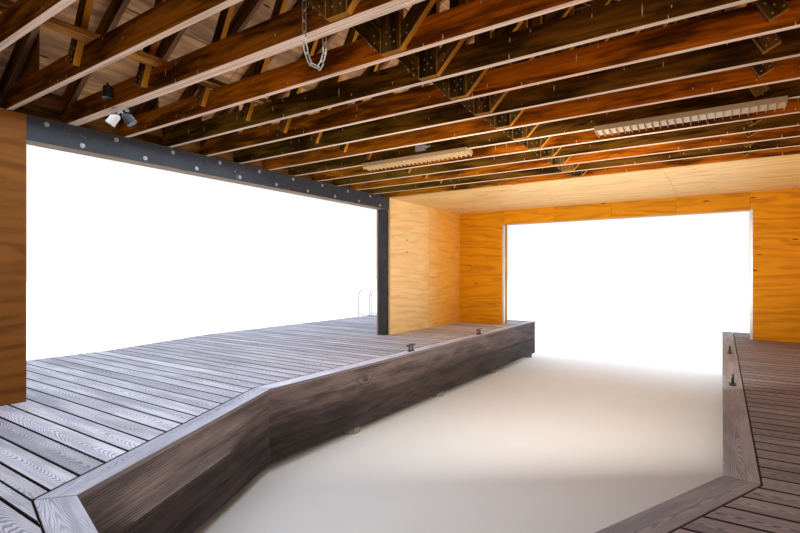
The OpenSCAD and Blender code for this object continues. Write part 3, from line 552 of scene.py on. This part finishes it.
# The second, darker pair is painted shade on the near side-wall sheets; the land wall's sheets take it
# by lot.
wall_ply = plywood_material("wall_plywood", (1.00, 0.78, 0.42), (0.86, 0.45, 0.13),
                            other=((0.28, 0.100, 0.015), (0.070, 0.021, 0.003)))
wall_tree = wall_ply.node_tree
wall_place = split(wall_tree, object_place(wall_tree))[1]
# Painted warm glow: the side walls turn a deeper orange over their last metre by the far wall, where the
# sunlight falls.
recolor(wall_ply, ease_between(wall_tree, wall_place, room_y + 8.4, room_y + 9.5),
        (1.0, 0.72, 0.24), "MULTIPLY")
# The far wall and the entrance jambs take a deeper orange copy of the plywood, painted as the same warm
# glow.
glow_painted_ply = plywood_material("lake_wall_glow_plywood", (0.92, 0.40, 0.006), (0.38, 0.110, 0.001))
sheet_arris = 0.001
for side, seed in (("left", 41), ("right", 42)):
    make_timbers(side + "_wall_lining", side + "_wall_sheets", wall_ply, "plywood", seed,
                 sheet_arris, along_room, wall_painted_shade_tone)
make_timbers("land_wall_lining", "land_wall_sheets", wall_ply, "plywood", 43, sheet_arris, across_room)
make_timbers("lake_wall_lining", "lake_wall_sheets", glow_painted_ply, "plywood_lake", 44, sheet_arris,
             across_room)
make_timbers("entrance_jambs", "entrance_jamb_boards", glow_painted_ply, "plywood_lake", 45, sheet_arris)


# Screws: small dark heads that hold the lining to the studs, in upright rows 0.4 m apart and
# along both edges of each free end.
def metal_material(name, color, roughness, mottle=0.12, scale=60.0, metallic=1.0, bump=0.0001,
                   marks=None):
    """Metal or paint on metal, with a mottled tone, uneven gloss and a few rubbed marks."""
    material, tree, shader = new_material(name, Metallic=metallic)
    place = object_place(tree)
    cloud = noise(tree, place, (scale,) * 3, 3.0, 0.6)
    broad = noise(tree, place, (scale / 14,) * 3)
    level = ease_between(tree, cloud, 0.25, 0.75, 1 - mottle, 1 + mottle)
    tinted = add_node(tree, "VectorMath", {0: color, "Scale": level}, operation="SCALE").outputs[0]
    if marks is not None:
        rubbed = ease_between(tree, calculate(tree, "MULTIPLY", cloud, broad), 0.36, 0.46)
        tinted = blend_colors(tree, rubbed, tinted, marks)
    tree.links.new(tinted, shader.inputs["Base Color"])
    gloss = ease_between(tree, broad, 0.3, 0.7, roughness * 0.8, min(roughness * 1.25, 1.0))
    tree.links.new(gloss, shader.inputs["Roughness"])
    relief = add_node(tree, "Bump", {"Height": cloud, "Strength": 0.6, "Distance": bump})
    tree.links.new(relief.outputs[0], shader.inputs["Normal"])
    return material


def standing_on(spot, way):
    """Turns and moves a shape from the origin, so that it stands on a face that looks along way."""
    turn = way.to_track_quat("Z", "Y").to_matrix().to_4x4()
    turn.translation = spot
    return turn


def add_head(bm, spot, way, radius=0.0045):
    """A low round head that stands on a face."""
    made = bmesh.ops.create_cone(bm, cap_ends=True, segments=8, radius1=radius, radius2=radius * 0.6,
                                 depth=0.0015)
    bmesh.ops.transform(bm, verts=made["verts"], matrix=standing_on(spot, way))


def spread(low, high, pitch):
    """Even places from low to high, about a pitch apart."""
    count = max(1, round((high - low) / pitch))
    return [low + (high - low) * i / count for i in range(count + 1)]


def screw_rows(bm, corner, along, way, low, high, heights):
    """Rows of heads up a wall, from low to high along it. Heights are over the deck."""
    draw = random.Random(46)
    for start in spread(low, high, 0.4):
        for height in heights:
            slip = Vector([draw.uniform(-0.006, 0.006) for _ in range(3)])
            spot = corner + along * start + upright * height + slip - way * slip.dot(way)
            add_head(bm, spot, way)


screws = bmesh.new()
left_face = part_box("left_wall_lining")[1].x
left_corner = Vector((left_face, room_y, deck_top))
right_corner = Vector((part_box("right_wall_lining")[0].x, room_y, deck_top))
far_corner = Vector((left_face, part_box("lake_wall_lining")[0].y, deck_top))
full_height = spread(0.04, 2.07, 0.25)
under_windows = spread(0.04, 1.48, 0.25)
for corner, along, way, low, high, heights in (
        (left_corner, along_room, across_room, 0.03, 2.945, full_height),
        (left_corner, along_room, across_room, 7.70, 10.03, full_height),
        (right_corner, along_room, -across_room, 0.03, 10.03, under_windows + [2.03]),
        (left_corner, across_room, along_room, 0.03, 5.55, full_height),
        (far_corner, across_room, -along_room, 0.03, 0.86, full_height),
        (far_corner, across_room, -along_room, 4.64, 5.55, full_height),
        (far_corner, across_room, -along_room, 1.0, 4.5, [1.89, 2.07])):
    screw_rows(screws, corner, along, way, low, high, heights)
make_piece(screws, "lining_screws", metal_material("screw_heads", (0.055, 0.045, 0.038), 0.5, 0.2,
                                                   300.0, metallic=0.6), "box_metal")

# Cladding: upright stained boards on the outside of the studs, 22 mm thick with narrow open
# joints. The gable ends run up to the underside of the roof sheets.
cladding_pitch = 0.138
cladding_width = 0.134
cladding_depth = 0.022
cladding_wood = wood_material("cladding_wood", (0.36, 0.25, 0.16), (0.15, 0.095, 0.058), lines=50,
                              knots=0.25, tone_spread=0.22, rough=(0.6, 0.85),
                              edge_color=(0.40, 0.32, 0.24))
for node, normal, across, seed in (
        ("left_wall_cladding", -across_room, along_room, 51),
        ("right_wall_cladding", across_room, along_room, 52),
        ("land_wall_cladding", -along_room, across_room, 53),
        ("lake_wall_cladding", along_room, across_room, 54)):
    boards = outer_sheet((node,), normal, 0.003)
    saw(boards, across, 0.0, cladding_pitch, cladding_width)
    thicken(boards, normal * -cladding_depth)
    round_arrises(boards, 0.003)
    lay_grain(boards, seed, upright)
    make_piece(boards, node + "_boards", cladding_wood, "cladding", node)

# Entrance strips and windows: bright metal angles on the entrance's inner corners, and three
# high fixed windows with painted sashes and one pane each.
dress("entrance_strips", metal_material("bright_strip", (0.72, 0.73, 0.75), 0.32))
sash_paint = metal_material("sash_paint", (0.80, 0.80, 0.77), 0.45, 0.03, 25.0, metallic=0.0)
make_timbers("window_sashes", "window_sash_members", sash_paint, "window_paint", 61, 0.003, segments=2)
glass, glass_tree, glass_shader = new_material("window_glass", 0.03, Transmission_Weight=1.0, IOR=1.45)
haze = noise(glass_tree, object_place(glass_tree), (3.0, 3.0, 3.0))
glass_tree.links.new(blend_colors(glass_tree, haze, (0.86, 0.93, 0.93), (0.95, 0.98, 0.98)),
                     glass_shader.inputs["Base Color"])
dress("window_glass", glass)

# Flitch beam and posts: dark painted steel plates bolted through a timber core, over square
# steel posts. Two staggered rows of galvanised bolts with washers show on the plates.
beam_paint = metal_material("beam_paint", (0.026, 0.030, 0.043), 0.55, 0.18, 40.0, metallic=0.0,
                            marks=(0.12, 0.12, 0.13))
make_timbers("steel_beam", "beam_plates", beam_paint, "beam_paint", 70, 0.0015)
make_timbers("beam_core", "beam_core_timber", framing_wood, "frame_timber", 71, 0.003)
post_paint = metal_material("post_paint", (0.020, 0.020, 0.022), 0.6, 0.2, 50.0, metallic=0.0,
                            marks=(0.10, 0.09, 0.08))
make_timbers("steel_posts", "steel_post_tubes", post_paint, "post_paint", 72, 0.004, segments=2)
galvanised = metal_material("galvanised_steel", (0.46, 0.45, 0.45), 0.45, 0.22, 220.0, metallic=0.5,
                            bump=0.00015)
bolt_rows = ((3.106, 2.081), (3.354, 1.974))
bolt_pitch = 0.510
bolts_in_row = 9
washer_radius = 0.019
washer_depth = 0.003
head_radius = 0.010
head_depth = 0.009


def add_bolt(bm, spot, way):
    """A hexagon head on a round washer, standing on a face that looks along way."""
    for sides, radius, low, high in ((24, washer_radius, 0.0, washer_depth),
                                     (6, head_radius, washer_depth, washer_depth + head_depth)):
        made = bmesh.ops.create_cone(bm, cap_ends=True, segments=sides, radius1=radius,
                                     radius2=radius * 0.97, depth=high - low)
        bmesh.ops.translate(bm, verts=made["verts"], vec=(0, 0, (low + high) / 2))
        bmesh.ops.transform(bm, verts=made["verts"], matrix=standing_on(spot, way))


beam_low, beam_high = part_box("steel_beam")
bolts = bmesh.new()
for side, way in ((beam_high.x, across_room), (beam_low.x, -across_room)):
    for start, height in bolt_rows:
        for number in range(bolts_in_row):
            along = room_y + start + number * bolt_pitch
            add_bolt(bolts, Vector((side, along, deck_top + height)), way)
make_piece(bolts, "beam_bolts", galvanised, "box_metal")


# Trusses: bottom chords, rafters and webs of old sawn softwood, stained from dark brown to amber,
# built in place and nailed where they lap. The undersides are paler, and the arrises and the webs'
# faces that look right carry a painted highlight.
def nail_marks(material, color):
    """Scattered old nail marks with pale runs down the timber's face."""
    tree = material.node_tree
    place = stretched(tree, grain_place(tree)[0], (9.0, 11.0, 3.0))
    cells = add_node(tree, "TexVoronoi", {"Vector": place, "Scale": 1.0}).outputs
    chance = add_node(tree, "SeparateColor", {0: cells["Color"]}).outputs
    kept = calculate(tree, "LESS_THAN", chance[0], 0.20)
    tall = ease_between(tree, chance[1], 0.0, 1.0, 1.2, 5.0)
    off = add_node(tree, "VectorMath", {0: place, 1: cells["Position"]}, operation="SUBTRACT").outputs[0]
    reach = add_node(tree, "VectorMath", {0: stretched(tree, off, join(tree, 15.0, tall))},
                     operation="LENGTH").outputs["Value"]
    recolor(material, calculate(tree, "MULTIPLY", kept, ease_between(tree, reach, 0.25, 0.5, 0.9, 0.0)),
            color)


def pale_undersides(material, color, share):
    """Paler, streaky colour on the faces that look down."""
    tree = material.node_tree
    grain = split(tree, grain_place(tree)[0])
    place = join(tree, grain[0], grain[1])
    streaks = ease_between(tree, noise(tree, place, (1.0, 70.0, 1.0), 3.0, 0.65), 0.25, 0.7, 1.0, 0.45)
    under = ease_between(tree, facing(tree, 2), -0.6, -0.95)
    recolor(material, calculate(tree, "MULTIPLY", under, calculate(tree, "MULTIPLY", streaks, share)),
            color)


def painted_lit_edges(material, color):
    """Painted highlight: the webs' faces that look to the right are painted amber as if lit, and their
    undersides a little.
    """
    tree = material.node_tree
    right = calculate(tree, "MULTIPLY", ease_between(tree, facing(tree, 0), 0.2, 0.6), 0.9)
    under = calculate(tree, "MULTIPLY", ease_between(tree, facing(tree, 2), -0.8, -0.98), 0.35)
    recolor(material, calculate(tree, "MAXIMUM", right, under), color)


def yellower_left(material, color):
    """The timbers by the open side, past the doubled truss, are made yellower and lighter."""
    tree = material.node_tree
    place = split(tree, object_place(tree))
    share = calculate(tree, "MULTIPLY", ease_between(tree, place[0], ridge_x + 0.4, ridge_x - 2.4),
                      ease_between(tree, place[1], room_y + 3.2, room_y + 3.8))
    recolor(material, share, color, "MULTIPLY")


first_truss = 0.083
truss_pitch = 0.3982
doubled_truss = 9
timber_arris = 0.0025


def chord_tone(middle, draw):
    """Past the doubled truss every other chord is amber, and before it all are dark."""
    number = round((middle.y - room_y - first_truss) / truss_pitch)
    if number < doubled_truss:
        return draw.uniform(0.43, 0.46)
    return draw.uniform(0.0, 0.2) if number % 2 == 0 else draw.uniform(0.7, 1.0)


def stained_wood(name, light, dark, tone_spread, edge_color, other=None):
    return wood_material(name, light, dark, other=other, tone_spread=tone_spread,
                         edge_color=edge_color, lines=40, arches=0.045, sway=0.05, knots=0.5,
                         shares=(0.3, 0.6, 0.3), stains=0.7, rough=(0.6, 0.85), bump=0.0008,
                         shine=0.06)


chord_wood = stained_wood("truss_wood", (0.22, 0.084, 0.007), (0.056, 0.019, 0.001), 0.2,
                          (0.42, 0.22, 0.07), ((0.47, 0.110, 0.002), (0.10, 0.018, 0.001)))
yellower_left(chord_wood, (0.90, 1.34, 1.3))
nail_marks(chord_wood, (0.80, 0.52, 0.26))
pale_undersides(chord_wood, (0.92, 0.72, 0.58), 0.95)
make_timbers("bottom_chords", "bottom_chord_timbers", chord_wood, "truss_timber", 81, timber_arris,
             tone_at=chord_tone, segments=2)
rafter_wood = stained_wood("rafter_wood", (0.22, 0.10, 0.030), (0.070, 0.028, 0.008), 0.3,
                           (0.40, 0.24, 0.14))
pale_undersides(rafter_wood, (0.40, 0.25, 0.17), 0.6)
make_timbers("rafters", "rafter_timbers", rafter_wood, "truss_timber", 82, timber_arris)
web_wood = stained_wood("web_wood", (0.17, 0.080, 0.014), (0.050, 0.021, 0.003), 0.3,
                        (0.45, 0.22, 0.08))
painted_lit_edges(web_wood, (0.56, 0.22, 0.020))
make_timbers("king_posts", "king_post_boards", web_wood, "truss_timber", 83, timber_arris)
make_timbers("truss_diagonals", "diagonal_boards", web_wood, "web_timber", 84, timber_arris)
make_timbers("truss_struts", "strut_boards", web_wood, "web_timber", 85, timber_arris)
make_timbers("truss_gussets", "gusset_plates", rafter_wood, "truss_timber", 86, 0.001)
make_timbers("eave_blocking", "eave_blocks", rafter_wood, "truss_timber", 88, timber_arris)
runner_wood = stained_wood("runner_wood", (0.60, 0.27, 0.060), (0.26, 0.095, 0.018), 0.2,
                           (0.65, 0.36, 0.14))
make_timbers("lateral_runners", "runner_boards", runner_wood, "web_timber", 87, timber_arris)

# Nails: round heads where the webs lap on the chords, five to a joint, set on the boards' faces
# towards the land.
nail_radius = 0.006
nail_row = 0.035
nail_side = 0.024
above_foot = 0.045
nails = bmesh.new()
for node in ("king_posts", "truss_diagonals", "truss_struts"):
    webs = solids_of(node)
    for part in loose_parts(webs):
        low_end, high_end = sorted((v.co.copy() for v in longest_edge(part).verts), key=lambda co: co.z)
        way = (high_end - low_end).normalized()
        foot = middle_of(part) - way * ((high_end - low_end).length / 2 - above_foot)
        foot.y = min(v.co.y for face in part for v in face.verts) - 0.0005
        across = way.cross(along_room)
        for step, side in ((-0.5, -1), (-0.5, 1), (0.4, 0), (1.3, -1), (1.3, 1)):
            spot = foot + way * step * nail_row + across * side * nail_side
            add_head(nails, spot, -along_room, nail_radius)
    webs.free()
make_piece(nails, "web_nails", metal_material("nail_heads", (0.36, 0.28, 0.19), 0.5, 0.3, 300.0,
                                              metallic=0.3), "box_metal")

# Ceiling and roof deck: pale plywood panels nailed under the last trusses, and sheathing sheets
# on the rafters with dark open joints that run along the building.
ceiling_ply = plywood_material("ceiling_plywood", (0.94, 0.68, 0.32), (0.50, 0.255, 0.062), knots=0.6,
                               tone_spread=0.03)
make_timbers("ceiling_panels", "ceiling_sheets", ceiling_ply, "ceiling_plywood", 91, sheet_arris,
             across_room)
sheathing_wood = plywood_material("sheathing_wood", (0.80, 0.47, 0.24), (0.26, 0.115, 0.044), knots=0.6,
                                  lines=12, tone_spread=0.2, stains=0.3)
sheet_width = 1.220
sheet_length = 2.440
sheet_depth = 0.015
sheet_joint = 0.007
roof_angle = math.radians(33.7)
for side, seed in ((-1, 92), (1, 93)):
    below = Vector((-side * math.sin(roof_angle), 0, -math.cos(roof_angle)))
    up_slope = Vector((-side * math.cos(roof_angle), 0, math.sin(roof_angle)))
    sheathing = outer_sheet(("roof_sheathing",), below, 0.0001)
    first_sheet = min(v.co.dot(up_slope) for v in sheathing.verts)
    saw(sheathing, up_slope, first_sheet, sheet_width, sheet_width - sheet_joint)
    rows = {}
    for face in sheathing.faces:
        row = int((face.calc_center_median().dot(up_slope) - first_sheet) / sheet_width)
        rows.setdefault(row, []).append(face)
    start = min(v.co.y for v in sheathing.verts)
    for row, faces in sorted(rows.items()):
        saw(sheathing, along_room, start - row % 2 * sheet_length / 2, sheet_length,
            sheet_length - sheet_joint / 2, faces)
    thicken(sheathing, below * -sheet_depth)
    round_arrises(sheathing, sheet_arris)
    lay_grain(sheathing, seed, along_room)
    name = "sheathing_sheets_" + ("left" if side < 0 else "right")
    sheets = make_piece(sheathing, name, sheathing_wood, "sheathing")
    if side > 0:
        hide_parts("roof_sheathing")

# Roof covering: charcoal standing seam sheets with a folded ridge cap, over painted eave and
# barge boards.
roof_metal = metal_material("roof_metal", (0.105, 0.112, 0.120), 0.42, 0.10, 14.0, metallic=0.35)
dress("metal_roofing", roof_metal)
dress("ridge_cap", roof_metal)
edge_paint = wood_material("edge_paint", (0.13, 0.13, 0.135), (0.075, 0.075, 0.08), lines=40, knots=0.0,
                           shares=(0.2, 0.5, 0.3), tone_spread=0.08, edge_color=(0.22, 0.21, 0.20))
make_timbers("roof_edge_boards", "edge_boards", edge_paint, "edge_paint", 101, 0.003, segments=2)


# Fittings: white enamelled strip lights with cross blades, twin flood lamps with a dark sensor,
# a galvanised box, a hanging chain, cast cleats and a polished swim ladder.
def make_smooth(node, name, material, slot, seed=0, tone_at=None):
    """A CAD node of round metal, with its curved faces shaded smoothly."""
    bm = bmesh.new()
    bm.from_mesh(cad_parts[node].data)
    bmesh.ops.remove_doubles(bm, verts=bm.verts, dist=same_spot)
    bm.normal_update()
    lay_grain(bm, seed, upright, tone_at)
    make_piece(bm, name, material, slot, node, smooth=0.6)


# The white enamel is painted a tan brown, as painted shade and warm light on it.
dress("strip_lights", metal_material("white_enamel_painted_shade", (0.47, 0.32, 0.17), 0.4, 0.04, 18.0, metallic=0.0))
lamp_low, lamp_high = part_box("flood_lamps")
lamp_base = Vector(((lamp_low.x + lamp_high.x) / 2, 0, deck_top + 2.125))


def lamp_tone(middle, draw):
    """The sensor and the lamp on the right are black, and the rest is white."""
    return 1.0 if middle.z > lamp_base.z + 0.05 or middle.x > lamp_base.x + 0.02 else 0.0


lamp_paint = metal_material("lamp_paint", (0.62, 0.59, 0.55), 0.4, 0.06, 30.0, metallic=0.0)
recolor(lamp_paint, face_value(lamp_paint.node_tree, "tone"), (0.025, 0.025, 0.028))
make_smooth("flood_lamps", "lamp_shells", lamp_paint, "lamp_shell", 111, lamp_tone)
dress("junction_box", galvanised)
chain_metal = metal_material("chain_metal", (0.40, 0.36, 0.30), 0.5, 0.25, 200.0, metallic=0.6)
make_smooth("hanging_chain", "chain_links", chain_metal, "chain_metal")
cast_black = metal_material("cast_black", (0.022, 0.022, 0.024), 0.38, 0.2, 160.0, metallic=0.0,
                            marks=(0.07, 0.065, 0.06), bump=0.0004)
make_smooth("dock_cleats", "cleat_castings", cast_black, "cleat_black")
ladder_metal = metal_material("ladder_metal", (0.70, 0.71, 0.72), 0.2, 0.05, 30.0)
make_smooth("swim_ladder", "ladder_tubes", ladder_metal, "ladder_steel")


# Studio: a pale floor under the piles that fades to white, a white surround, a broad soft lamp
# that shines up from the slip, and three more in the room, over the deck and by the far wall.
def seen_rays(tree):
    """The rays that see the white surround: the camera's own, and those off metal or through glass."""
    rays = add_node(tree, "LightPath").outputs
    return calculate(tree, "MAXIMUM", rays["Is Camera Ray"], rays["Is Glossy Ray"],
                     rays["Is Transmission Ray"])


fade_from = 4.0
fade_to = 9.0
floor_bm = bmesh.new()
bmesh.ops.create_grid(floor_bm, x_segments=1, y_segments=1, size=120)
floor_mesh = bpy.data.meshes.new("floor")
floor_bm.to_mesh(floor_mesh)
floor_bm.free()
floor = place_in_scene("floor", floor_mesh)
floor_material, floor_tree, floor_shader = new_material("floor", 0.9, Emission_Strength=1.0)
floor_place = object_place(floor_tree)
speckle = noise(floor_tree, floor_place, (2.0, 2.0, 2.0))
floor_tree.links.new(blend_colors(floor_tree, speckle, (0.80, 0.80, 0.80), (0.84, 0.84, 0.84)),
                     floor_shader.inputs["Base Color"])
away = add_node(floor_tree, "VectorMath", {0: floor_place}, operation="LENGTH").outputs["Value"]
fade = calculate(floor_tree, "MULTIPLY", ease_between(floor_tree, away, fade_from, fade_to),
                 seen_rays(floor_tree))
floor_tree.links.new(blend_colors(floor_tree, fade, (0, 0, 0), (1, 1, 1)),
                     floor_shader.inputs["Emission Color"])
floor_mesh.materials.append(floor_material)

surround = bpy.data.worlds.new("surround")
surround.use_nodes = True
surround_tree = surround.node_tree
surround_color = blend_colors(surround_tree, seen_rays(surround_tree), (0.97, 1.03, 1.15), (1, 1, 1))
surround_tree.links.new(surround_color, surround_tree.nodes["Background"].inputs["Color"])
bpy.context.scene.world = surround


def add_lamp(name, spot, turn, size, power, color):
    """A soft lamp, placed from the ridge's line, the land wall's face and the deck."""
    lamp = bpy.data.lights.new(name, "AREA")
    lamp.shape = "RECTANGLE"
    lamp.size, lamp.size_y = size
    lamp.energy = power
    lamp.color = color
    holder = place_in_scene(name, lamp)
    holder.location = (ridge_x + spot[0], room_y + spot[1], deck_top + spot[2])
    holder.rotation_euler = [math.radians(angle) for angle in turn]
    holder.visible_camera = False


add_lamp("slip_light", (-0.06, 6.3, -0.3), (180, 0, 0), (2.6, 7.0), 90, (1.0, 0.93, 0.86))
add_lamp("room_light", (1.2, 0.5, 1.2), (86, 0, 8), (2.0, 1.2), 38, (1.0, 0.94, 0.86))
add_lamp("deck_light", (-1.3, 3.4, 2.08), (0, 0, 0), (2.8, 3.6), 62, (0.76, 0.88, 1.0))
add_lamp("far_wall_light", (0.7, 5.5, 1.0), (94, 0, 38), (2.6, 1.0), 66, (1.0, 0.96, 0.86))

bpy.context.scene.view_settings.view_transform = "Standard"
